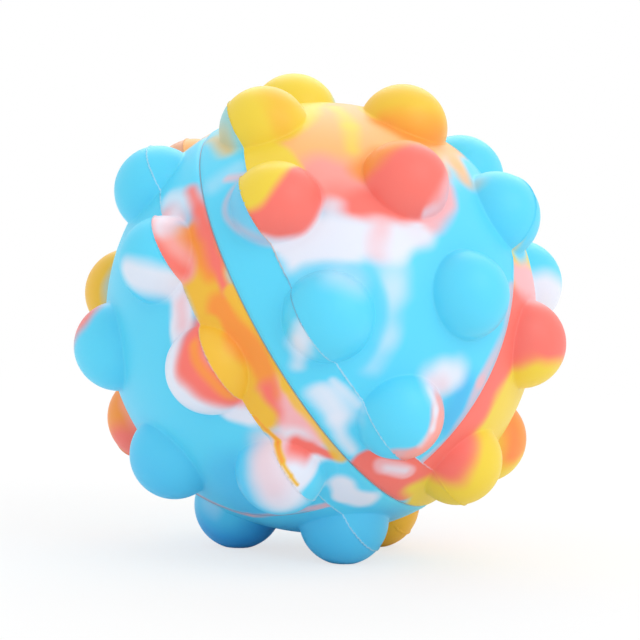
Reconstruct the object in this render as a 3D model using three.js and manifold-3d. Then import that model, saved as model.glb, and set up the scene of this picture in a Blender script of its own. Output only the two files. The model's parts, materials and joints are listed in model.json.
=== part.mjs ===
// A pop-it stress ball: a hollow silicone ball of two bonded half shells, with bubbles that press in and stay in.
// Millimetres, +Z up. The origin is the ball's centre, and the ball rests on three of its bubbles.
// The two halves come out of one mould: the left one is the right one turned over and twisted a little.

import * as THREE from "three";
import { mergeVertices } from "three/addons/utils/BufferGeometryUtils.js";
import Module from "manifold-3d";

const wasm = await Module();
wasm.setup();

// Half shells
const shellRadius = 30; // outside of the skin, between the bubbles
const shellWall = 2.5;
const clearance = 0.3; // between pieces that meet

// Bubbles
const domeRadius = 6.2; // outside of a bubble's dome
const domeSink = 1.1; // how far the dome's centre lies below the skin
const bubbleWall = 1.3;
const skirtDepth = 1.2; // how far a bubble reaches down into its hole
const lipHeight = 0.9; // top of the soft rim round a bubble's foot, above the skin
const lipLand = 0.3; // width of the rim's flat top
const lipWidth = 1; // how far the rim spreads outside that top
const lipRoot = 0.3; // depth below the skin from which the rim grows

// Layout of one half, from the bond outwards: a row, a ring and one bubble on the pole
const rowCount = 10;
const ringCount = 6;
const rowLatitude = 18;
const ringLatitude = 54;
const bondTwist = -3.8; // degrees between the halves' mould lines

// Cured adhesive between the halves, in a groove half cut into each
const beadWidth = 0.8;
const beadHeight = 1.8;

// Rest: the bubbles of the left half under the ball, and how it is turned about the vertical
const restingSeats = ["row_9", "row_10", "ring_6"];
const contactDepth = 0.3; // how far the ball's weight flattens a resting bubble
const poleBearing = -15.4; // degrees from +X to the right half's pole, seen from above

// How finely round shapes are divided
const shellSides = 32;
const shellRings = 7;
const bubbleSides = 14;
const domeRings = 3;
const lipRings = 1; // a plain cone

// Values that follow from the sizes above
const innerRadius = shellRadius - shellWall;
const domeCentre = shellRadius - domeSink;
const lipTop = shellRadius + lipHeight;
const crownRadius = Math.sqrt(domeRadius ** 2 - (lipTop - domeCentre) ** 2);
const holeRadius = crownRadius + clearance;
const landRadius = holeRadius + lipLand;
const footRadius = landRadius + lipWidth;
const footHeight = Math.sqrt(shellRadius ** 2 - footRadius ** 2) - lipRoot;
const rimBase = footHeight - lipRoot; // inside the wall
const halfGap = clearance / 2;
const up = new THREE.Vector3(0, 0, 1);

const dyes = { sky: 0x5fd0f7, lemon: 0xf2d640, orange: 0xf7a53c, coral: 0xf7766c, white: 0xe8e2f2 };
const dyeOf = {
  right: {
    pole: "sky",
    ring: ["coral", "sky", "sky", "orange", "coral", "sky"],
    row: ["coral", "orange", "lemon", "lemon", "sky", "orange", "lemon", "lemon", "sky", "sky"],
  },
  left: {
    pole: "orange",
    ring: ["sky", "sky", "orange", "sky", "coral", "sky"],
    row: ["white", "coral", "sky", "sky", "orange", "lemon", "sky", "coral", "orange", "sky"],
  },
};

function silicone(dye) {
  return new THREE.MeshStandardMaterial({ color: dyes[dye], roughness: 0.5, metalness: 0 });
}

// A profile of [distance from the axis, height] turned about +Z. It runs up the outside of the piece.
function turn(profile, sides) {
  const points = profile.map(([radius, height]) => new THREE.Vector2(radius, height));
  return new THREE.LatheGeometry(points, sides).rotateX(Math.PI / 2);
}

// Points on an arc about a point of the axis. Angles are in radians, from the axis's square up to the axis.
function arc(radius, centre, from, to, steps) {
  const points = [];
  for (let i = 0; i <= steps; i += 1) {
    const angle = from + ((to - from) * i) / steps;
    const onAxis = Math.abs(angle - Math.PI / 2) < 1e-9;
    points.push([onAxis ? 0 : radius * Math.cos(angle), centre + radius * Math.sin(angle)]);
  }
  return points;
}

function toSolid(geometry) {
  const bare = geometry.clone();
  bare.deleteAttribute("normal");
  bare.deleteAttribute("uv");
  const merged = mergeVertices(bare, 1e-4);
  const index = merged.index.array;
  const triangles = [];
  for (let i = 0; i < index.length; i += 3) {
    const [a, b, c] = [index[i], index[i + 1], index[i + 2]];
    if (a !== b && b !== c && c !== a) triangles.push(a, b, c);
  }
  return new wasm.Manifold(
    new wasm.Mesh({
      numProp: 3,
      vertProperties: merged.attributes.position.array,
      triVerts: new Uint32Array(triangles),
    }),
  );
}

function toGeometry(solid) {
  const mesh = solid.getMesh();
  const geometry = new THREE.BufferGeometry();
  geometry.setAttribute("position", new THREE.BufferAttribute(mesh.vertProperties, 3));
  geometry.setIndex(new THREE.BufferAttribute(mesh.triVerts, 1));
  geometry.computeVertexNormals();
  return geometry;
}

// Seats of one half, in its own frame: the pole is up and the mould line runs along +X and -X.
function seat(name, latitude, longitude) {
  const lat = THREE.MathUtils.degToRad(latitude);
  const lon = THREE.MathUtils.degToRad(longitude);
  const flat = Math.cos(lat);
  const outward = new THREE.Vector3(flat * Math.cos(lon), flat * Math.sin(lon), Math.sin(lat));
  return { name, outward, facing: new THREE.Quaternion().setFromUnitVectors(up, outward) };
}

function seatCircle(name, latitude, count) {
  const pitch = 360 / count;
  return Array.from({ length: count }, (_, i) => seat(`${name}_${i + 1}`, latitude, pitch * (i + 0.5)));
}

const seats = [
  seat("pole", 90, 0),
  ...seatCircle("ring", ringLatitude, ringCount),
  ...seatCircle("row", rowLatitude, rowCount),
];

// One half shell: a bowl with a groove in its mating face, a soft rim at each seat and a hole through it.
function bowlGeometry() {
  const grooveHalf = beadWidth / 2 + clearance;
  const grooveTop = beadHeight / 2 + clearance;
  const grooveMiddle = (innerRadius + shellRadius) / 2;
  const pole = Math.PI / 2;
  const innerStart = Math.asin(halfGap / innerRadius);
  const outerStart = Math.asin(halfGap / shellRadius);
  return turn(
    [
      ...arc(innerRadius, 0, pole, innerStart, shellRings - 2),
      [grooveMiddle - grooveHalf, halfGap],
      [grooveMiddle - grooveHalf, grooveTop],
      [grooveMiddle + grooveHalf, grooveTop],
      [grooveMiddle + grooveHalf, halfGap],
      ...arc(shellRadius, 0, outerStart, pole, shellRings),
    ],
    shellSides,
  );
}

// The rim's side is a quarter of an ellipse that leaves the skin flat and ends upright, in lipRings steps.
function rimGeometry() {
  const profile = [[0, rimBase], [footRadius, rimBase]];
  for (let i = 0; i <= lipRings; i += 1) {
    const angle = (Math.PI / 2) * (i / lipRings);
    const radius = landRadius + lipWidth * (1 - Math.sin(angle));
    profile.push([radius, footHeight + (lipTop - footHeight) * (1 - Math.cos(angle))]);
  }
  profile.push([0, lipTop]);
  return turn(profile, bubbleSides);
}

function holeGeometry() {
  const below = innerRadius - domeRadius;
  const above = lipTop + domeRadius;
  return turn([[0, below], [holeRadius, below], [holeRadius, above], [0, above]], bubbleSides);
}

function halfShellGeometry() {
  const rim = rimGeometry();
  const hole = holeGeometry();
  let shell = toSolid(bowlGeometry());
  for (const { facing } of seats) shell = shell.add(toSolid(rim.clone().applyQuaternion(facing)));
  for (const { facing } of seats) shell = shell.subtract(toSolid(hole.clone().applyQuaternion(facing)));
  return toGeometry(shell);
}

// One bubble: a dome on a short skirt, open underneath, about +Z with the ball's centre at the origin.
function bubbleGeometry() {
  const skirtBottom = lipTop - skirtDepth;
  const innerDome = domeRadius - bubbleWall;
  const innerSkirt = crownRadius - bubbleWall;
  const innerStart = Math.acos(innerSkirt / innerDome);
  const outerStart = Math.acos(crownRadius / domeRadius);
  return turn(
    [
      ...arc(innerDome, domeCentre, Math.PI / 2, innerStart, domeRings - 1),
      [innerSkirt, skirtBottom],
      [crownRadius, skirtBottom],
      ...arc(domeRadius, domeCentre, outerStart, Math.PI / 2, domeRings),
    ],
    bubbleSides,
  );
}

// The direction in which the left half's resting bubbles point together, square to the floor.
function restingDown() {
  const [a, b, c] = restingSeats.map((name) => seats.find((s) => s.name === name).outward);
  const down = b.clone().sub(a).cross(c.clone().sub(a)).normalize();
  return down.dot(a) < 0 ? down.negate() : down;
}

// A resting bubble loses what would reach below the floor.
function restingBubbleGeometry(bubble, { facing, outward }, down) {
  const floor = domeCentre * down.dot(outward) + domeRadius - contactDepth;
  const localDown = down.clone().applyQuaternion(facing.clone().invert());
  const below = new THREE.BoxGeometry(shellRadius, shellRadius, domeRadius)
    .translate(0, 0, floor + domeRadius / 2)
    .applyQuaternion(new THREE.Quaternion().setFromUnitVectors(up, localDown));
  return toGeometry(toSolid(bubble).subtract(toSolid(below)));
}

function beadGeometry() {
  const middle = (innerRadius + shellRadius) / 2;
  const [inside, outside] = [middle - beadWidth / 2, middle + beadWidth / 2];
  const [low, high] = [-beadHeight / 2, beadHeight / 2];
  return turn([[inside, high], [inside, low], [outside, low], [outside, high], [inside, high]], shellSides);
}

function piece(name, geometry, dye) {
  const mesh = new THREE.Mesh(geometry, silicone(dye));
  mesh.name = name;
  return mesh;
}

const shellShape = halfShellGeometry();
const bubbleShape = bubbleGeometry();
const down = restingDown();

function dyeFor(side, name) {
  const [circle, number] = name.split("_");
  return number ? dyeOf[side][circle][number - 1] : dyeOf[side][circle];
}

function halfBall(side) {
  const half = new THREE.Group();
  half.add(piece(`half_shell_${side}`, shellShape, "sky"));
  for (const place of seats) {
    const rests = side === "left" && restingSeats.includes(place.name);
    const shape = rests ? restingBubbleGeometry(bubbleShape, place, down) : bubbleShape;
    const bubble = piece(`bubble_${side}_${place.name}`, shape, dyeFor(side, place.name));
    bubble.quaternion.copy(place.facing);
    half.add(bubble);
  }
  return half;
}

const rightHalf = halfBall("right");
const leftHalf = halfBall("left");
leftHalf.rotation.set(Math.PI, 0, THREE.MathUtils.degToRad(bondTwist), "ZXY");

// The ball is turned until the resting bubbles point down, and then about the vertical to its bearing.
const level = new THREE.Quaternion().setFromUnitVectors(
  down.clone().applyQuaternion(leftHalf.quaternion),
  new THREE.Vector3(0, 0, -1),
);
const levelPole = up.clone().applyQuaternion(level);
const bearing = THREE.MathUtils.degToRad(poleBearing) - Math.atan2(levelPole.y, levelPole.x);
const ball = new THREE.Group();
ball.add(rightHalf, leftHalf, piece("bond_bead", beadGeometry(), "white"));
ball.quaternion.setFromAxisAngle(up, bearing).multiply(level);

const popBall = new THREE.Group();
popBall.add(ball);

export default popBall;
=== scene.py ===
import json
import math

import bmesh
import bpy
import numpy as np
from mathutils import Matrix, Vector


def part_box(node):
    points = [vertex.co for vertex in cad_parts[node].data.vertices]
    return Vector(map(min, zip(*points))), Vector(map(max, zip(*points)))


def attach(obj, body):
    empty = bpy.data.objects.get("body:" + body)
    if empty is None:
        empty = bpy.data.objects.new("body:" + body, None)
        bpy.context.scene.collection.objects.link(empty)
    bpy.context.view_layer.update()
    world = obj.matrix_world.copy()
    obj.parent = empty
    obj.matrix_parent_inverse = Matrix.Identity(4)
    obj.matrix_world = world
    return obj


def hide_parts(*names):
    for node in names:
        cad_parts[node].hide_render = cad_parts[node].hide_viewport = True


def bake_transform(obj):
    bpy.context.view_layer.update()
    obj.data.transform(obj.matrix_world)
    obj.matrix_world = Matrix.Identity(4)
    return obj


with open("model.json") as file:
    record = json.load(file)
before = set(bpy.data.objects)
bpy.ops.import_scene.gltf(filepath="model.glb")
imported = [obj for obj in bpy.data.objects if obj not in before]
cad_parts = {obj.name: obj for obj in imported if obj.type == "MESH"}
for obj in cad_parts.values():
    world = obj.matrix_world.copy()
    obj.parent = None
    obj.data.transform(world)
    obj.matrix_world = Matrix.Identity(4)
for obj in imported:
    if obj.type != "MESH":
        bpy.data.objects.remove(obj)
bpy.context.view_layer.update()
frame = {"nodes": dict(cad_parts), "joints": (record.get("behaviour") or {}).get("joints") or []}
scene = bpy.context.scene
mm = 0.001
roundOff = 1e-6
print("frame loaded:", len(frame["nodes"]), "nodes")

# each bubble's outward axis, from the joint that it is pressed along
outward = {j["child"]: -np.array(j["axis"]) for j in frame["joints"]}
restingBubbles = ["bubble_left_row_9", "bubble_left_row_10", "bubble_left_ring_6"]
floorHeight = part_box(restingBubbles[0])[0].z


def unit(v):
    return v / np.linalg.norm(v, axis=-1, keepdims=True)


# rows are the axes of a half's mould: x along the mould line, z through the pole bubble
def mouldFrame(side):
    pole = outward[f"bubble_{side}_pole"]
    line = outward[f"bubble_{side}_row_1"] + outward[f"bubble_{side}_row_10"]
    line = unit(line - pole * (line @ pole))
    return np.stack([line, np.cross(pole, line), pole])


mould = {side: mouldFrame(side) for side in ("right", "left")}

# the dyes that were poured together into the moulds; the deepest blue is no dye but painted shade, and white
# also serves for painted highlights
dyes = {
    "sky": "#5CD8FB",
    "azure": "#45B4EF",
    # painted shade: the deepest blue is no dye; it darkens the bubbles that the ball rests on
    "ocean": "#36A4EA",
    "lemon": "#F3D543",
    "gold": "#F3BF3A",
    "orange": "#FA993E",
    "peach": "#FBBA74",
    "salmon": "#FBA39A",
    "coral": "#FB786D",
    "rose": "#F8B7BC",
    "white": "#E7ECFA",
    "plum": "#96708F",
}

# where each dye ran, as strokes over a base dye, a few of them painted shade and painted highlight: dye, half
# width and soft edge in mm, strength from 0 to 1, and the stroke's points as degrees of latitude above the
# bond and of longitude from the mould line.
# Each half has three zones, which its mould's parting lines bound: the strip beside the bond, and two caps
marblingAndPaintedLight = {
    "right": {
        "strip": ("sky", [
            ("lemon", 3.0, 3.0, 0.3, (9, 226), (10, 240)),
            ("gold", 1.2, 2.4, 0.6, (3, 232), (8, 243)),
            ("white", 1.4, 3.0, 0.25, (4, 255), (10, 253)),
            ("rose", 0.5, 1.4, 0.6, (8, 255), (12, 257)),
            ("rose", 7.2, 1.2, 0.5, (18, 270)),
            ("sky", 6.4, 1.4, 0.8, (18, 270)),
            ("azure", 5.8, 3.0, 0.2, (18, 270)),
            ("white", 1.5, 2.4, 0.8, (8, 309), (11, 307)),
            ("white", 0.7, 1.6, 0.6, (8, 308), (4, 313)),
            ("white", 1.3, 2.0, 0.8, (4, 322), (4, 331)),
            ("white", 1.5, 2.6, 0.7, (7, 324), (6, 332)),
            ("white", 0.8, 1.8, 0.75, (4, 332), (3, 342)),
            ("white", 0.5, 1.6, 0.6, (9, 321), (10, 331)),
            ("coral", 3.5, 1.0, 1, (3, 351), (4, 5)),
            ("coral", 2.6, 0.9, 1, (8, 351), (11, 5)),
            ("rose", 1.4, 1.0, 1, (5, 352), (8, 359)),
            ("white", 0.6, 1.4, 0.7, (5, 353), (8, 358)),
            ("lemon", 4.0, 1.6, 1, (7, 17), (6, 60)),
            ("lemon", 1.7, 2.6, 1, (5, 9), (10, 11)),
            # the hidden side, guessed
            ("orange", 4.5, 4.0, 1, (5, 64), (8, 84)),
            ("coral", 3.6, 3.0, 1, (10, 90), (4, 104)),
            ("rose", 1.6, 2.8, 0.9, (2, 107), (12, 113)),
            ("white", 2.2, 3.2, 0.9, (3, 148), (10, 162)),
            ("gold", 4.5, 4.0, 1, (9, 186), (5, 204)),
            ("orange", 1.8, 3.0, 0.9, (3, 180), (5, 198)),
        ]),
        "front": ("sky", [
            ("peach", 7.0, 4.0, 1, (27, 240), (40, 240), (56, 234)),
            ("peach", 6.0, 3.0, 1, (34, 222), (60, 205)),
            ("peach", 5.0, 4.0, 1, (24, 258), (40, 262)),
            ("salmon", 4.2, 4.0, 1, (32, 265), (38, 270)),
            ("coral", 3.0, 4.0, 0.6, (35, 276), (41, 279)),
            ("coral", 3.4, 2.6, 1, (40, 281), (50, 290)),
            ("lemon", 0.9, 2.4, 0.7, (36, 222), (41, 240), (42, 252)),
            ("lemon", 6.6, 2.0, 1, (18, 198), (20, 234)),
            ("gold", 1.6, 3.5, 0.9, (25, 226), (24, 242)),
            ("white", 3.4, 3.0, 1, (20, 290), (30, 289)),
            ("white", 3.0, 3.0, 1, (30, 289), (42, 295)),
            ("white", 2.2, 2.6, 0.95, (42, 297), (52, 296)),
            ("white", 1.1, 3.0, 0.7, (30, 285), (32, 277)),
            ("white", 2.2, 2.0, 1, (17, 284), (26, 284)),
            ("rose", 0.9, 3.0, 0.6, (41, 289), (37, 298)),
            ("white", 6.4, 1.0, 0.9, (18, 273)),
            ("coral", 6.2, 1.0, 1, (19, 271)),
            ("lemon", 3.4, 1.6, 1, (15, 246), (20, 261), (14, 269)),
            ("white", 2.0, 3.6, 0.5, (40, 299), (35, 309)),
            ("white", 1.2, 3.4, 0.3, (35, 309), (28, 320), (20, 323)),
            ("sky", 7.8, 1.6, 0.85, (18, 306)),
            ("sky", 6.4, 1.6, 1, (18, 306)),
            # painted highlight: a faint white wash on the upper side of this bubble's dome
            ("white", 1.6, 4.0, 0.35, (25, 297), (27, 300)),
            ("coral", 6.2, 1.6, 1, (54, 271)),
            ("orange", 2.0, 3.0, 0.9, (44, 263), (50, 257), (57, 254), (65, 255)),
            # painted highlight: a small white spot low on this bubble
            ("white", 0.5, 1.0, 0.7, (55, 289), (59, 288)),
            ("rose", 1.6, 2.6, 0.9, (65, 272), (63, 283), (57, 293)),
            ("gold", 6.5, 1.4, 1, (54, 210)),
            ("lemon", 6.5, 1.4, 0.4, (54, 210)),
            ("orange", 1.3, 3.6, 0.8, (49, 231), (58, 235), (65, 221)),
            ("white", 1.2, 3.0, 0.25, (68, 240), (69, 262)),
            ("peach", 1.8, 3.0, 0.8, (67, 208), (72, 230), (75, 248)),
            ("azure", 2.2, 4.0, 0.7, (36, 353), (26, 355)),
            ("white", 1.3, 4.4, 0.9, (31, 341), (35, 343), (38, 346)),
            ("rose", 1.0, 3.0, 0.3, (31, 342), (33, 344)),
            ("salmon", 1.9, 1.2, 0.8, (27, 345), (25, 347), (22, 349), (19, 350), (15, 349), (11, 346)),
            ("white", 0.2, 1.4, 0.7, (28, 340), (26, 343), (23, 345)),
            ("white", 0.2, 1.6, 0.4, (23, 345), (18, 346)),
            ("coral", 1.0, 1.8, 0.7, (16, 353), (11, 348)),
            ("rose", 1.0, 1.2, 0.6, (66, 0), (40, 0), (14, 0)),
        ]),
        "back": ("lemon", [
            ("coral", 3.2, 3.0, 1, (62, 6), (48, 4), (34, 3), (16, 1)),
            ("coral", 5.0, 2.6, 1, (60, 20), (60, 40)),
            ("sky", 6.8, 1.6, 1, (56, 92)),
            ("white", 2.6, 2.8, 1, (51, 78), (60, 72)),
            ("rose", 2.4, 2.6, 1, (71, 12), (66, 58)),
            ("sky", 5.0, 2.0, 1, (84, 60), (84, 140)),
            ("sky", 6.6, 1.6, 1, (60, 150), (54, 150)),
            ("coral", 2.3, 3.0, 1, (26, 3), (16, 5)),
            ("orange", 5.6, 2.4, 1, (22, 54)),
            ("coral", 1.2, 3.0, 0.3, (28, 45), (22, 44)),
            ("lemon", 3.4, 3.0, 1, (13, 46), (15, 52), (15, 60)),
            # the hidden side, guessed
            ("orange", 4.5, 6.0, 0.9, (36, 74), (24, 90)),
            ("coral", 3.0, 3.4, 1, (32, 84), (18, 100)),
            ("rose", 1.6, 2.8, 0.9, (38, 98), (22, 110)),
            ("sky", 6.0, 2.8, 1, (36, 128), (20, 140), (16, 158)),
            ("white", 1.6, 3.0, 0.9, (46, 112), (30, 114), (16, 121)),
        ]),
    },
    "left": {
        "strip": ("sky", [
            ("white", 1.6, 3.0, 0.7, (10, 105), (4, 100)),
            ("gold", 4.0, 2.4, 1, (6, 80), (7, 50)),
            ("orange", 1.6, 2.4, 1, (5, 88), (3, 76)),
            ("orange", 2.6, 2.4, 1, (4, 65), (5, 44)),
            ("orange", 1.2, 2.2, 1, (5, 91), (4, 82)),
            ("salmon", 2.4, 1.8, 1, (12, 92), (11, 82)),
            ("rose", 2.3, 3.0, 1, (13, 99), (11, 96)),
            ("white", 1.0, 2.6, 0.7, (10, 99), (10, 91)),
            ("coral", 0.9, 1.6, 0.9, (13, 94), (11, 81)),
            ("coral", 0.8, 2.8, 0.9, (3, 103), (2, 95)),
            ("coral", 1.2, 2.4, 1, (2, 95), (1, 88), (1, 78)),
            ("coral", 0.6, 1.4, 1, (1, 78), (1, 68)),
            ("gold", 2.4, 1.2, 1, (11, 61), (11, 47)),
            ("rose", 2.4, 2.4, 1, (4, 40), (4, 30), (8, 26)),
            ("orange", 1.3, 2.2, 1, (4, 47), (5, 41)),
            ("rose", 1.2, 2.0, 1, (3, 31), (3, 22)),
            ("coral", 1.4, 2.4, 1, (6, 42), (8, 36)),
            ("gold", 2.0, 1.6, 1, (11, 42), (11, 36)),
            ("white", 3.2, 2.2, 1, (10, 25), (9, 16)),
            ("rose", 1.0, 2.0, 0.7, (12, 30), (10, 26)),
            ("coral", 1.2, 1.6, 1, (8, 26), (6, 22)),
            ("coral", 0.7, 1.0, 1, (6, 22), (2, 16)),
            ("gold", 0.4, 0.5, 1, (13, 37), (12.7, 33), (12.2, 29), (11.6, 25)),
            ("gold", 0.2, 0.4, 1, (11.6, 25), (11.2, 21), (11, 18)),
            ("orange", 0.1, 0.5, 0.7, (13, 37), (12.7, 33), (12.2, 29), (11.6, 25)),
            ("sky", 1.5, 1.2, 1, (5, 13), (11, 13)),
            ("white", 1.8, 1.4, 1, (5, 7), (7, 2), (4, 356)),
            ("gold", 1.2, 0.9, 0.9, (0, 68), (0, 40), (0, 15)),
            # painted shade: deeper blue beside a bubble at the ball's underside
            ("azure", 5.0, 5.0, 0.5, (10, 342)),
            # the hidden side, guessed
            ("gold", 4.5, 3.0, 1, (8, 313), (6, 296)),
            ("orange", 2.2, 3.4, 0.9, (3, 304), (6, 286)),
            ("coral", 3.2, 3.0, 1, (9, 284), (4, 268)),
            ("rose", 1.6, 2.8, 0.9, (2, 262), (12, 262)),
            ("lemon", 4.2, 3.2, 1, (7, 242), (5, 214)),
            ("white", 2.0, 3.2, 0.9, (10, 204), (3, 190)),
            ("peach", 4.2, 3.2, 1, (8, 158), (6, 140)),
        ]),
        "front": ("sky", [
            ("azure", 6.0, 6.0, 0.4, (54, 28)),
            ("azure", 5.0, 5.0, 0.4, (30, 20), (34, 8)),
            ("white", 2.2, 1.8, 1, (15, 74), (20, 67), (22, 58), (21, 49), (17, 42), (14, 39)),
            ("rose", 1.2, 2.6, 0.6, (14, 77), (19, 68)),
            ("coral", 2.2, 2.6, 1, (13, 62), (15, 56), (14, 49), (13, 46)),
            ("orange", 0.7, 1.4, 0.9, (13, 60), (13, 46)),
            ("white", 1.9, 2.4, 0.95, (21, 84), (15, 79)),
            ("white", 3.3, 3.6, 1, (13, 26), (14, 19)),
            ("sky", 2.0, 2.4, 0.9, (24, 12), (17, 8)),
            ("rose", 2.0, 4.0, 0.4, (16, 28), (15, 22)),
            ("rose", 7.6, 1.4, 1, (86, 80)),
            ("orange", 6.2, 1.4, 1, (89, 90)),
            ("coral", 3.0, 3.0, 1, (81, 30)),
            ("coral", 1.6, 2.4, 0.9, (55, 100), (48, 99)),
            ("gold", 6.6, 1.4, 1, (54, 150)),
            ("orange", 6.4, 1.4, 0.8, (18, 162)),
            ("rose", 0.8, 0.9, 0.8, (64, 0), (40, 0), (14, 0)),
        ]),
        "back": ("sky", [
            # painted shade: the two blues below darken the bubbles that the ball rests on, at its underside
            ("azure", 7.0, 6.0, 0.5, (18, 342), (40, 330)),
            ("ocean", 6.0, 4.0, 0.8, (54, 328), (44, 322)),
            ("white", 1.2, 2.4, 0.7, (60, 356), (54, 355)),
            ("rose", 0.6, 0.9, 0.8, (64, 0), (40, 0), (14, 0)),
            ("gold", 6.6, 1.4, 1, (18, 306)),
            ("orange", 6.0, 1.4, 1, (86, 270)),
            # the hidden side, guessed
            ("lemon", 6.0, 3.0, 1, (17, 242), (26, 216)),
            ("gold", 2.6, 4.0, 0.9, (16, 234), (24, 208)),
            ("coral", 3.6, 3.0, 1, (42, 262), (30, 280)),
            ("rose", 1.8, 2.8, 0.9, (48, 250), (33, 262)),
            ("white", 2.2, 3.4, 0.9, (54, 222), (44, 198), (33, 190)),
            ("orange", 3.0, 3.2, 1, (67, 204), (58, 182)),
        ]),
    },
}

# stretches of the parting lines' flash that another dye smeared along, as strokes too. The white strokes are
# no dye but a painted highlight that draws the thin flash paler
flashSmearsAndHighlights = {
    "right": [
        ("orange", 3.0, 2.0, 1, (13, 280), (13, 291)),
        ("plum", 3.0, 2.0, 1, (12, 296), (12, 306)),
        ("white", 3.0, 2.0, 1, (12, 312), (12, 336)),
        ("white", 3.0, 2.0, 1, (66, 0), (14, 0)),
    ],
    "left": [
        ("plum", 3.0, 3.0, 1, (60, 0), (24, 0)),
        ("white", 3.0, 3.0, 1, (12, 340), (12, 6)),
        ("white", 3.0, 3.0, 0.4, (12, 46), (12, 70)),
        ("white", 3.0, 3.0, 1, (12, 112), (12, 140)),
    ],
}


# sRGB hex to linear, with alpha 1
def linear(hexColour):
    channels = [int(hexColour[i:i + 2], 16) / 255 for i in (1, 3, 5)]
    return [c / 12.92 if c <= 0.04045 else ((c + 0.055) / 1.055) ** 2.4 for c in channels] + [1]


# inputs are links where they are sockets of other nodes, and values otherwise
def addNode(tree, kind, settings, inputs):
    node = tree.nodes.new(kind)
    for name, value in settings.items():
        setattr(node, name, value)
    for socket, value in inputs.items():
        if isinstance(value, bpy.types.NodeSocket):
            tree.links.new(value, node.inputs[socket])
        else:
            node.inputs[socket].default_value = value
    return node


# one stroke over what lies under it, of dye, and in a few strokes of painted shade and painted highlight:
# full within
# `inside` of the straight run from `start`, and none past `outside`. `share` is the run over its squared
# length, so a point's product with it is its place there
def pourGroup():
    tree = bpy.data.node_groups.new("dye and painted light stroke", "ShaderNodeTree")
    kinds = {"under": "Color", "dye": "Color", "place": "Vector", "start": "Vector", "run": "Vector",
             "share": "Vector", "inside": "Float", "outside": "Float", "strength": "Float"}
    for name, kind in kinds.items():
        tree.interface.new_socket(name, in_out="INPUT", socket_type=f"NodeSocket{kind}")
    tree.interface.new_socket("colour", in_out="OUTPUT", socket_type="NodeSocketColor")
    given = tree.nodes.new("NodeGroupInput").outputs
    vector = "ShaderNodeVectorMath"
    away = addNode(tree, vector, {"operation": "SUBTRACT"}, {0: given["place"], 1: given["start"]})
    along = addNode(tree, vector, {"operation": "DOT_PRODUCT"}, {0: away.outputs[0], 1: given["share"]})
    held = addNode(tree, "ShaderNodeClamp", {}, {"Value": along.outputs["Value"]})
    nearest = addNode(tree, vector, {"operation": "SCALE"}, {0: given["run"], "Scale": held.outputs[0]})
    gap = addNode(tree, vector, {"operation": "DISTANCE"}, {0: away.outputs[0], 1: nearest.outputs[0]})
    cover = addNode(tree, "ShaderNodeMapRange", {"interpolation_type": "SMOOTHSTEP"},
                    {"Value": gap.outputs["Value"], "From Min": given["outside"], "From Max": given["inside"],
                     "To Min": 0, "To Max": given["strength"]})
    mixed = addNode(tree, "ShaderNodeMix", {"data_type": "RGBA"},
                    {0: cover.outputs[0], 6: given["under"], 7: given["dye"]})    # 6 and 7 are its colours
    addNode(tree, "NodeGroupOutput", {}, {"colour": mixed.outputs[2]})
    return tree


# latitude and longitude in degrees to a point of the skin, in millimetres of the mould
def skinPlace(latitude, longitude):
    a, b = math.radians(latitude), math.radians(longitude)
    return Vector((math.cos(a) * math.cos(b), math.cos(a) * math.sin(b), math.sin(a))) * ball["skinRadius"]


# strokes of dye over a colour, one group for each straight run; a few of the strokes are painted shade and
# painted highlight
def poured(tree, colour, strokes, place, pour):
    for dye, width, edge, strength, *points in strokes:
        spots = [skinPlace(*p) for p in points]
        for start, end in zip(spots, spots[1:] or spots):
            run = end - start    # of no length where a stroke is one round spot
            stroke = addNode(tree, "ShaderNodeGroup", {"node_tree": pour},
                             {"under": colour, "dye": linear(dyes[dye]), "place": place, "start": start,
                              "run": run, "share": run / max(run.length_squared, roundOff),
                              "inside": max(width - edge / 2, 0), "outside": width + edge / 2,
                              "strength": strength})
            colour = stroke.outputs[0]
    return colour


# silicone rubber, moulded: dyes poured together run into each other with soft edges, fine flash stands along
# the mould's parting lines, and the satin skin scatters a little light inside. A few strokes over the dyes
# are painted shade and painted highlight
silicone = {
    "swirl": 9.0,            # millimetres, the size of the slow bends in the dyes' edges
    "swirlReach": 1.3,
    "curl": 3.0,             # the size of the small ones
    "curlReach": 0.25,
    "partingHeight": 6.9,    # of the parting line beside the bond, above the bond
    "flashWidth": 0.18,      # from a ridge's crest to its foot
    "flashHeight": 0.15,
    "flashSmearAndHighlight": 0.5,        # share of the smeared dye, and of the painted highlight, on a crest
    "grain": 0.45,           # moulded texture, drawn coarser than the real one to show at all
    "grainHeight": 0.006,
    "roughness": (0.36, 0.48),
    "ior": 1.41,
    "scatterShare": 0.1,
    "scatter": 0.6,          # millimetres
}
ball = {
    "skinRadius": 30.0,      # millimetres, outside of the skin between the bubbles
    "skinWall": 2.5,
    "seamGap": 0.16,         # between the halves, filled by the adhesive
    "creaseDepth": 0.25,     # the skin rolls in towards the bond
    "creaseWidth": 0.75,
    "edgePitch": 0.55,       # spacing of points round a cell of the skin
    "edgeSteps": 4,          # the fewest on one edge
    "cellSteps": [0, 0.03, 0.25, 0.5, 0.72, 0.86, 0.93, 0.97, 1.0],    # from a bubble out to its cell's edge
    "mergeDistance": 0.002,
    "cutTolerance": 1e-4,
}


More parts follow.
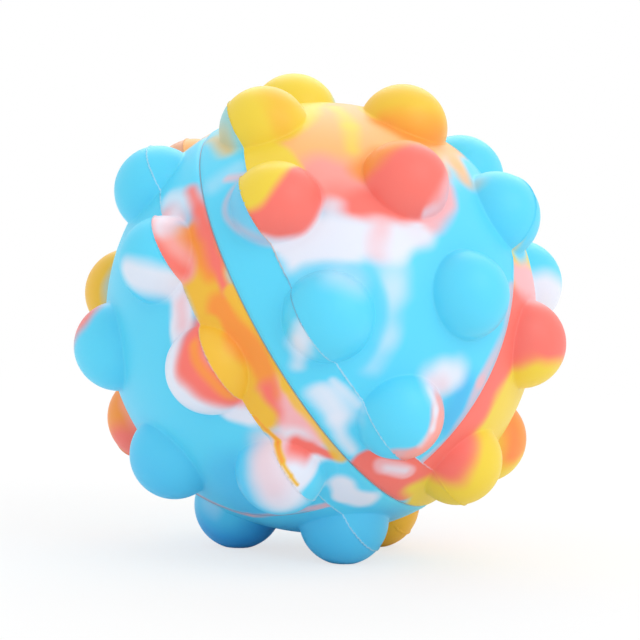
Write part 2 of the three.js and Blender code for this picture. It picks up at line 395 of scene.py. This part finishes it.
def marbledSilicone(side, zone, pour):
    material = bpy.data.materials.new(f"marbled silicone {side} {zone}")
    material.use_nodes = True
    tree = material.node_tree
    vector = "ShaderNodeVectorMath"
    raw = addNode(tree, "ShaderNodeAttribute", {"attribute_name": "mouldPlace"}, {}).outputs["Vector"]
    # the dyes' edges bend with two sizes of noise, and the bent place goes back to the skin's sphere
    bent = raw
    for size, reach in (("swirl", "swirlReach"), ("curl", "curlReach")):
        noise = addNode(tree, "ShaderNodeTexNoise", {},
                        {"Vector": raw, "Scale": 1 / silicone[size], "Detail": 0})
        centred = addNode(tree, vector, {"operation": "SUBTRACT"},
                          {0: noise.outputs["Color"], 1: (0.5, 0.5, 0.5)})
        bent = addNode(tree, vector, {"operation": "MULTIPLY_ADD"},
                       {0: centred.outputs[0], 1: (2 * silicone[reach],) * 3, 2: bent}).outputs[0]
    ray = addNode(tree, vector, {"operation": "NORMALIZE"}, {0: bent})
    place = addNode(tree, vector, {"operation": "SCALE"},
                    {0: ray.outputs[0], "Scale": ball["skinRadius"]}).outputs[0]
    base, strokes = marblingAndPaintedLight[side][zone]
    colour = poured(tree, linear(dyes[base]), strokes, place, pour)
    # the flash is thin, and other dyes smeared along stretches of it; along other stretches white is painted
    # on as a highlight
    crest = addNode(tree, "ShaderNodeAttribute", {"attribute_name": "flash"}, {}).outputs["Fac"]
    tint = poured(tree, colour, flashSmearsAndHighlights[side], place, pour)
    amount = addNode(tree, "ShaderNodeMath", {"operation": "MULTIPLY"}, {0: crest, 1: silicone["flashSmearAndHighlight"]})
    colour = addNode(tree, "ShaderNodeMix", {"data_type": "RGBA"},
                     {0: amount.outputs[0], 6: colour, 7: tint}).outputs[2]
    grain = addNode(tree, "ShaderNodeTexNoise", {},
                    {"Vector": raw, "Scale": 1 / silicone["grain"], "Detail": 2})
    bump = addNode(tree, "ShaderNodeBump", {},
                   {"Distance": silicone["grainHeight"] * mm, "Height": grain.outputs["Fac"]})
    smoothest, roughest = silicone["roughness"]
    satin = addNode(tree, "ShaderNodeMapRange", {},
                    {"Value": grain.outputs["Fac"], "To Min": smoothest, "To Max": roughest})
    shader = tree.nodes["Principled BSDF"]
    shader.inputs["IOR"].default_value = silicone["ior"]
    shader.inputs["Subsurface Weight"].default_value = silicone["scatterShare"]
    shader.inputs["Subsurface Scale"].default_value = silicone["scatter"] * mm
    tree.links.new(colour, shader.inputs["Base Color"])
    tree.links.new(colour, shader.inputs["Subsurface Radius"])
    tree.links.new(satin.outputs[0], shader.inputs["Roughness"])
    tree.links.new(bump.outputs[0], shader.inputs["Normal"])
    return material


pour = pourGroup()
zones = ("strip", "front", "back")
siliconeOf = {side: [marbledSilicone(side, zone, pour) for zone in zones] for side in mould}
print("silicone mixed:", {m.name: len(m.node_tree.nodes) for ms in siliconeOf.values() for m in ms})


# two directions square to an axis, for angles round it
def across(axis):
    helper = np.where(np.abs(axis[2]) < 0.9, [0.0, 0.0, 1.0], [1.0, 0.0, 0.0])    # never along the axis
    u = unit(np.cross(helper, axis))
    return u, np.cross(axis, u)


# corners of the cells round the seats of one half: points as far from three seats, with no seat nearer.
# mirror images of the seats below the bond make the bond itself an edge of the row's cells
def cellCorners(seats):
    points = np.concatenate([seats, seats * [1, 1, -1]])
    n = len(points)
    i, j, k = np.array([(a, b, c) for a in range(n) for b in range(a) for c in range(b)]).T
    normal = np.cross(points[j] - points[i], points[k] - points[i])
    long = np.linalg.norm(normal, axis=1) > roundOff
    normal = unit(normal[long])
    normal *= np.sign(np.sum(normal * points[i[long]], axis=1))[:, None]
    reach = np.sum(normal * points[i[long]], axis=1)
    empty = (normal @ points.T).max(axis=1) < reach + roundOff
    corners = normal[empty & (normal[:, 2] > -roundOff)]
    gap = np.linalg.norm(corners[:, None] - corners[None], axis=2) * ball["skinRadius"]
    same = gap < ball["mergeDistance"]
    return corners[~np.triu(same, 1).any(axis=0)]


# points round a seat's cell, evenly along each edge, with their angles round the seat's axis
def cellEdge(axis, seats, corners):
    nearest = (corners @ seats.T).max(axis=1)
    own = corners[np.abs(corners @ axis - nearest) < 10 * roundOff]
    u, v = across(axis)
    own = own[np.argsort(np.arctan2(own @ v, own @ u))]
    points = []
    for a, b in zip(own, np.roll(own, -1, axis=0)):
        steps = round(np.linalg.norm(b - a) * ball["skinRadius"] / ball["edgePitch"])
        steps = max(ball["edgeSteps"], steps)
        t = np.arange(steps)[:, None] / steps
        points.append(unit(a * (1 - t) + b * t))
    points = np.concatenate(points)
    points[:, 2] = np.maximum(points[:, 2], 0.5 * ball["seamGap"] / ball["skinRadius"])
    points = unit(points)
    return points, np.arctan2(points @ v, points @ u)


# the skin: a sphere that rolls in by a parabola beside the bond
def skinPoint(direction):
    height = direction[..., 2:3] * ball["skinRadius"]
    near = np.clip(1 - (height - 0.5 * ball["seamGap"]) / ball["creaseWidth"], 0, 1)
    return direction * (ball["skinRadius"] - ball["creaseDepth"] * near ** 2)


# quads of a grid of rows by columns, closed round the columns
def gridQuads(rows, columns, first=0):
    r, c = np.meshgrid(np.arange(rows - 1), np.arange(columns), indexing="ij")
    a = first + r * columns + c
    b = first + r * columns + (c + 1) % columns
    return np.stack([a, a + columns, b + columns, b], axis=-1).reshape(-1, 4)


bubble = {
    "domeRadius": 6.2,
    "domeSink": 1.1,         # the dome's centre lies this far below the skin
    "footFillet": 0.4,       # radius of the soft corner between dome and skin
    "cutAngle": 14.3,        # degrees from a bubble's axis to where its piece meets the skin
    "wall": 1.3,
    "domeRings": 24,
    "filletRings": 9,
    "skinRings": 2,
    "foldStart": 29.7,       # distance from the ball's centre below which a pressed bubble stays still
    "foldPastTip": 0.5,
    "flashFade": (1.2, 2.2),    # distances from the foot's corner where the flash starts and is whole
    "foldReach": 2.0,        # distance from the foot's corner within which the wall gets thinner
    "foldWall": 0.3,         # share of the wall that is left at the fold
}


# distance of a bubble's points from the corner of its foot, where the pressed wall folds. Steps across the
# skin outside the foot count double, because little of the skin belongs to the bubble
def footDistance(points, axis):
    skin, centre, dome = ball["skinRadius"], ball["skinRadius"] - bubble["domeSink"], bubble["domeRadius"]
    foot = math.acos((skin ** 2 + centre ** 2 - dome ** 2) / (2 * skin * centre))
    radius = np.linalg.norm(points, axis=1)
    past = skin * (np.arccos(np.clip(points @ axis / radius, -1, 1)) - foot)
    return np.hypot(radius - skin, np.where(past > 0, 2 * past, past))


# ridges of flash: three cuts side by side along each parting line, with the middle one lifted along the
# normals. Near a bubble's foot the ridge fades out
def addFlash(work, domeAxis):
    line, half = silicone["partingHeight"], silicone["flashWidth"]
    flash = work.verts.layers.float.new("flash")
    crest = []
    for axis, height in ((2, line), (1, 0.0)):
        normal = [float(i == axis) for i in range(3)]
        for step in (-half, half, 0.0):
            onCap = [f for f in work.faces if axis == 2 or f.calc_center_median().z > line]
            part = {g for f in onCap for g in (f, *f.edges, *f.verts)}
            cut = bmesh.ops.bisect_plane(work, geom=list(part), dist=ball["cutTolerance"], plane_no=normal,
                                         plane_co=[n * (height + step) for n in normal])
        crest += [v for v in cut["geom_cut"] if isinstance(v, bmesh.types.BMVert)]
    work.normal_update()
    crest = [v for v in crest if v.is_valid]
    lift = np.full((len(crest), 1), silicone["flashHeight"])
    if domeAxis is not None and crest:
        start, full = bubble["flashFade"]
        away = footDistance(np.array([v.co for v in crest]), domeAxis)
        lift[:, 0] *= np.clip((away - start) / (full - start), 0, 1)
    for v, step in zip(crest, lift * np.array([v.normal for v in crest]).reshape(-1, 3)):
        v.co += Vector(step)
        v[flash] = 1


# gives each face its zone of dye, as a place in the list of zones that the piece has
def setZones(work, side):
    used = []
    for f in work.faces:
        middle = f.calc_center_median()
        front = middle.y < 0 if side == "right" else middle.y > 0
        zone = 0 if middle.z < silicone["partingHeight"] else 1 if front else 2
        if zone not in used:
            used.append(zone)
        f.material_index = used.index(zone)
        f.smooth = True
    return used


# the wall's share of its thickness falls in a straight line towards the fold, in steps of a tenth
def thinFold(piece, moulded, domeAxis):
    share = np.clip(footDistance(moulded, domeAxis) / bubble["foldReach"], bubble["foldWall"], 1).round(1)
    group = piece.vertex_groups.new(name="wall")
    for level in np.unique(share):
        group.add(np.flatnonzero(share == level).tolist(), float(level), "REPLACE")
    piece.modifiers["wall"].vertex_group = group.name


# a piece of silicone from points in millimetres of its half's mould. Its points keep those places, so the
# dyes stay where they are when a bubble is pressed
def mouldedPiece(name, points, faces, side, wall, domeAxis=None):
    work = bmesh.new()
    corners = [work.verts.new(p) for p in points.tolist()]
    for f in faces:
        work.faces.new([corners[i] for i in f])
    bmesh.ops.remove_doubles(work, verts=work.verts, dist=ball["mergeDistance"])
    addFlash(work, domeAxis)
    used = setZones(work, side)
    for edge in work.edges:
        edge.smooth = not edge.is_boundary
    mesh = bpy.data.meshes.new(name)
    work.to_mesh(mesh)
    work.free()
    moulded = np.empty(3 * len(mesh.vertices))
    mesh.vertices.foreach_get("co", moulded)
    kept = mesh.attributes.new("mouldPlace", "FLOAT_VECTOR", "POINT")
    kept.data.foreach_set("vector", moulded.astype(np.float32))
    moulded = moulded.reshape(-1, 3)
    place = moulded @ mould[side] * mm
    if name in restingBubbles:
        place[:, 2] = np.maximum(place[:, 2], floorHeight)    # soft silicone lies flat where the ball rests
    mesh.vertices.foreach_set("co", place.ravel())
    mesh.update()
    for zone in used:
        mesh.materials.append(siliconeOf[side][zone])
    piece = bpy.data.objects.new(name, mesh)
    scene.collection.objects.link(piece)
    thick = piece.modifiers.new("wall", "SOLIDIFY")
    thick.thickness = wall * mm
    thick.offset = -1
    thick.use_even_offset = False
    if domeAxis is not None:
        thinFold(piece, moulded, domeAxis)
    return piece


# a bubble's outline as distances from its axis and heights from the ball's centre, from the tip to the skin:
# an arc of the dome, the fillet's arc that touches dome and skin, and an arc of the skin
def bubbleOutline():
    dome, fillet, skin = bubble["domeRadius"], bubble["footFillet"], ball["skinRadius"]
    centre = skin - bubble["domeSink"]
    height = ((skin + fillet) ** 2 + centre ** 2 - (dome + fillet) ** 2) / (2 * centre)
    reach = math.sqrt((skin + fillet) ** 2 - height ** 2)
    domeEnd = math.atan2(reach, height - centre)
    skinStart = math.atan2(reach, height)
    onDome = np.linspace(0, domeEnd, bubble["domeRings"] + 1)
    onFillet = np.linspace(domeEnd, skinStart, bubble["filletRings"] + 1)[1:] + math.pi
    onSkin = np.linspace(skinStart, math.radians(bubble["cutAngle"]), bubble["skinRings"] + 1)[1:]
    out = [dome * np.sin(onDome), reach + fillet * np.sin(onFillet), skin * np.sin(onSkin)]
    up = [centre + dome * np.cos(onDome), height + fillet * np.cos(onFillet), skin * np.cos(onSkin)]
    return np.concatenate(out), np.concatenate(up)


outlineOut, outlineUp = bubbleOutline()
for side in mould:
    names = [n for n in outward if n.startswith(f"bubble_{side}_")]
    seats = np.array([mould[side] @ outward[n] for n in names])
    corners = cellCorners(seats)
    skinPoints, skinFaces, first = [], [], 0
    for name, axis in zip(names, seats):
        edge, angle = cellEdge(axis, seats, corners)
        count = len(angle)
        u, v = across(axis)
        spoke = np.cos(angle)[:, None] * u + np.sin(angle)[:, None] * v
        # the bubble: its outline carried round its axis through the angles of the cell's edge
        rings = outlineOut[1:, None, None] * spoke + outlineUp[1:, None, None] * axis
        points = np.concatenate([[outlineUp[0] * axis], rings.reshape(-1, 3)])
        fan = [(0, 1 + c, 1 + (c + 1) % count) for c in range(count)]
        faces = fan + gridQuads(len(rings), count, 1).tolist()
        piece = mouldedPiece(name, points, faces, side, bubble["wall"], axis)
        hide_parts(name)
        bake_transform(piece)
        # the skin round it: straight spokes from the bubble's circle to the cell's edge
        t = np.array(ball["cellSteps"])[:, None, None]
        skin = skinPoint(unit(unit(rings[-1]) * (1 - t) + edge * t))
        skinPoints.append(skin.reshape(-1, 3))
        skinFaces.append(gridQuads(len(skin), count, first))
        first += len(skin) * count
    shell = mouldedPiece(f"half_shell_skin_{side}", np.concatenate(skinPoints),
                         np.concatenate(skinFaces).tolist(), side, ball["skinWall"])
    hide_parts(f"half_shell_{side}")
    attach(shell, "shell")
    print(side, "half:", len(names), "bubbles,", len(shell.data.vertices), "skin points")

# the film of adhesive between the halves, seen at the bottom of the crease
film = {
    "inside": 27.7,          # millimetres from the ball's centre
    "outside": 29.8,
    "thickness": 0.14,
    "around": 240,
    "section": 20,
    "cloud": 3.0,            # millimetres, the size of its cloudy patches
    "tints": ("#8CA6BC", "#C3CEDB"),
    "roughness": 0.35,
    "ior": 1.41,
}


# cured silicone adhesive: cloudy, greyer than the mouldings, and a little glossy where it was squeezed out
def curedAdhesive():
    material = bpy.data.materials.new("cured silicone adhesive")
    material.use_nodes = True
    tree = material.node_tree
    place = addNode(tree, "ShaderNodeTexCoord", {}, {}).outputs["Object"]
    cloud = addNode(tree, "ShaderNodeTexNoise", {},
                    {"Vector": place, "Scale": 1 / (film["cloud"] * mm), "Detail": 2})
    dark, pale = film["tints"]
    tint = addNode(tree, "ShaderNodeMix", {"data_type": "RGBA"},
                   {0: cloud.outputs["Fac"], 6: linear(dark), 7: linear(pale)})
    shader = tree.nodes["Principled BSDF"]
    tree.links.new(tint.outputs[2], shader.inputs["Base Color"])
    shader.inputs["Roughness"].default_value = film["roughness"]
    shader.inputs["IOR"].default_value = film["ior"]
    return material


# a closed band: a rounded rectangle, as a circle with square-rooted sine and cosine, carried round the bond
def filmPoints():
    a = np.linspace(0, 2 * math.pi, film["section"], endpoint=False)
    b = np.linspace(0, 2 * math.pi, film["around"], endpoint=False)[:, None]
    middle, half = (film["inside"] + film["outside"]) / 2, (film["outside"] - film["inside"]) / 2
    radius = middle + half * np.sign(np.cos(a)) * np.sqrt(np.abs(np.cos(a)))
    height = film["thickness"] / 2 * np.sign(np.sin(a)) * np.sqrt(np.abs(np.sin(a)))
    return np.stack([radius * np.cos(b), radius * np.sin(b), height + 0 * b], axis=-1).reshape(-1, 3)


filmMesh = bpy.data.meshes.new("bond_film")
quads = gridQuads(film["around"] + 1, film["section"]) % (film["around"] * film["section"])
filmMesh.from_pydata((filmPoints() @ mould["right"] * mm).tolist(), [], quads[:, ::-1].tolist())
filmMesh.polygons.foreach_set("use_smooth", np.ones(len(quads), bool))
filmMesh.materials.append(curedAdhesive())
bondFilm = bpy.data.objects.new("bond_film", filmMesh)
scene.collection.objects.link(bondFilm)
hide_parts("bond_bead")
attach(bondFilm, "shell")
print("bond film:", len(quads), "faces")

# camera at the photograph's place: low, level with the ball, with a slight roll
view = {
    "elevation": 6.1,        # degrees
    "roll": 2.0,
    "distance": 660.0,       # millimetres
    "frameWidth": 89.2,      # millimetres across the picture at the ball's centre
    "ballPixel": (321.3, 317.8),
    "picture": 640,          # pixels
    "sensor": 36,
    "clipEnd": 10,           # metres
}
camera = bpy.data.objects.new("camera", bpy.data.cameras.new("camera"))
scene.collection.objects.link(camera)
scene.camera = camera
camera.data.sensor_width = view["sensor"]
camera.data.lens = view["sensor"] * view["distance"] / view["frameWidth"]
elevation = math.radians(view["elevation"])
back = Vector((0, -math.cos(elevation), math.sin(elevation)))
camera.location = back * view["distance"] * mm
turn = (-back).to_track_quat("-Z", "Y").to_matrix() @ Matrix.Rotation(math.radians(view["roll"]), 3, "Z")
camera.rotation_euler = turn.to_euler()
camera.data.shift_x = -(view["ballPixel"][0] - view["picture"] / 2) / view["picture"]
camera.data.shift_y = (view["ballPixel"][1] - view["picture"] / 2) / view["picture"]
camera.data.clip_end = view["clipEnd"]

# a white studio: even light all round, a soft box in front on the right, and one behind that leaves a pale
# sheen on the upper side of each bubble. The camera sees the sky and the far floor as white
studio = {
    "sky": 0.88,
    "keyPlace": (0.55, -0.45, 0.6),     # metres
    "keyPower": 2.0,
    "rimPlace": (0.05, 0.65, 0.55),
    "rimPower": 2.4,
    "softBox": 0.7,                     # metres across
    "floorSize": 6.0,
    "floorTone": 0.9,
    "shadowReach": (0.05, 0.22),        # metres from the ball over which the floor's shadow fades out
    "shadowShare": 0.3,                 # of what the camera sees of the floor under the ball
}
scene.view_settings.view_transform = "Standard"
for name in ("key", "rim"):
    lamp = bpy.data.objects.new(f"{name} soft box", bpy.data.lights.new(name, "AREA"))
    lamp.data.size = studio["softBox"]
    lamp.data.energy = studio[f"{name}Power"]
    lamp.location = studio[f"{name}Place"]
    lamp.rotation_euler = (-lamp.location).to_track_quat("-Z", "Y").to_euler()
    scene.collection.objects.link(lamp)

world = bpy.data.worlds.new("studio")
scene.world = world
world.use_nodes = True
tree = world.node_tree
path = addNode(tree, "ShaderNodeLightPath", {}, {}).outputs
rays = path["Is Camera Ray"]
for kind in ("Is Glossy Ray", "Is Transmission Ray"):
    rays = addNode(tree, "ShaderNodeMath", {"operation": "MAXIMUM"}, {0: rays, 1: path[kind]}).outputs[0]
level = addNode(tree, "ShaderNodeMapRange", {}, {"Value": rays, "To Min": studio["sky"], "To Max": 1})
background = tree.nodes["Background"]
background.inputs["Color"].default_value = (1, 1, 1, 1)
tree.links.new(level.outputs[0], background.inputs["Strength"])

paper = bpy.data.materials.new("white paper")
paper.use_nodes = True
tree = paper.node_tree
path = addNode(tree, "ShaderNodeLightPath", {}, {}).outputs
place = addNode(tree, "ShaderNodeTexCoord", {}, {}).outputs["Object"]
away = addNode(tree, "ShaderNodeVectorMath", {"operation": "LENGTH"}, {0: place})
near, far = studio["shadowReach"]
glowShare = addNode(tree, "ShaderNodeMapRange", {"interpolation_type": "SMOOTHSTEP"},
                    {"Value": away.outputs["Value"], "From Min": near, "From Max": far,
                     "To Min": 1 - studio["shadowShare"], "To Max": 1})
# for the camera alone, so that the bubbles underneath still reflect the floor's shadow
share = addNode(tree, "ShaderNodeMath", {"operation": "MULTIPLY"},
                {0: path["Is Camera Ray"], 1: glowShare.outputs[0]})
tone = studio["floorTone"]
sheet = addNode(tree, "ShaderNodeBsdfDiffuse", {}, {"Color": (tone, tone, tone, 1)})
glow = addNode(tree, "ShaderNodeEmission", {}, {"Color": (1, 1, 1, 1), "Strength": 1})
seen = addNode(tree, "ShaderNodeMixShader", {},
               {0: share.outputs[0], 1: sheet.outputs[0], 2: glow.outputs[0]})
tree.links.new(seen.outputs[0], tree.nodes["Material Output"].inputs["Surface"])
corner = studio["floorSize"] / 2
floorMesh = bpy.data.meshes.new("floor")
floorMesh.from_pydata([(-corner, -corner, floorHeight), (corner, -corner, floorHeight),
                       (corner, corner, floorHeight), (-corner, corner, floorHeight)], [], [(0, 1, 2, 3)])
floorMesh.materials.append(paper)
floor = bpy.data.objects.new("floor", floorMesh)
scene.collection.objects.link(floor)
